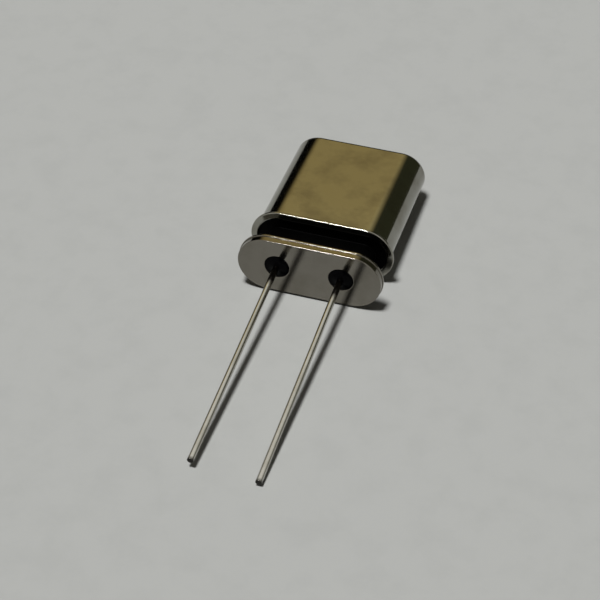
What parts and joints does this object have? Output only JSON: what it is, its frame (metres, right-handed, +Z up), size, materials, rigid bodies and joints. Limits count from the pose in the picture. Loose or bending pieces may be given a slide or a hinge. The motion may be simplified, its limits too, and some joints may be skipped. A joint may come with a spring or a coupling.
{
  "type": "quartz crystal sensor",
  "caption": "Quartz crystal resonator in a flat flanged metal can that stands off from its glass-sealed base plate on a black collar, with wire leads for soldering into a board.",
  "frame": {"origin": "centre of the base plate's lead-side face, which seats on the board", "axes": "+X along the row of leads, +Y along the can away from the leads, +Z up as it lies on its broad side"},
  "size_m": [0.011, 0.0329, 0.0052],
  "materials": {
    "can_metal": "smooth drawn nickel silver, bright with faint smudges",
    "plate_metal": "smooth stamped metal with a nickel plate",
    "collar_black": "glossy black",
    "bead_glass": "glossy black sealing glass",
    "lead_wire": "drawn wire, tinned",
    "clip_ribbon": "rolled nickel ribbon",
    "quartz": "lapped quartz",
    "electrode_silver": "plated silver",
    "cement": "silver-filled cement"
  },
  "bodies": {
    "root": {"can": "can_metal", "base_plate": "plate_metal", "collar": "collar_black", "glass_bead_left": "bead_glass", "glass_bead_right": "bead_glass", "lead_left": "lead_wire", "lead_right": "lead_wire", "spring_clip_left": "clip_ribbon", "spring_clip_right": "clip_ribbon", "quartz_blank": "quartz", "electrode_top": "electrode_silver", "electrode_bottom": "electrode_silver", "cement_left": "cement", "cement_right": "cement"}
  },
  "joints": []
}
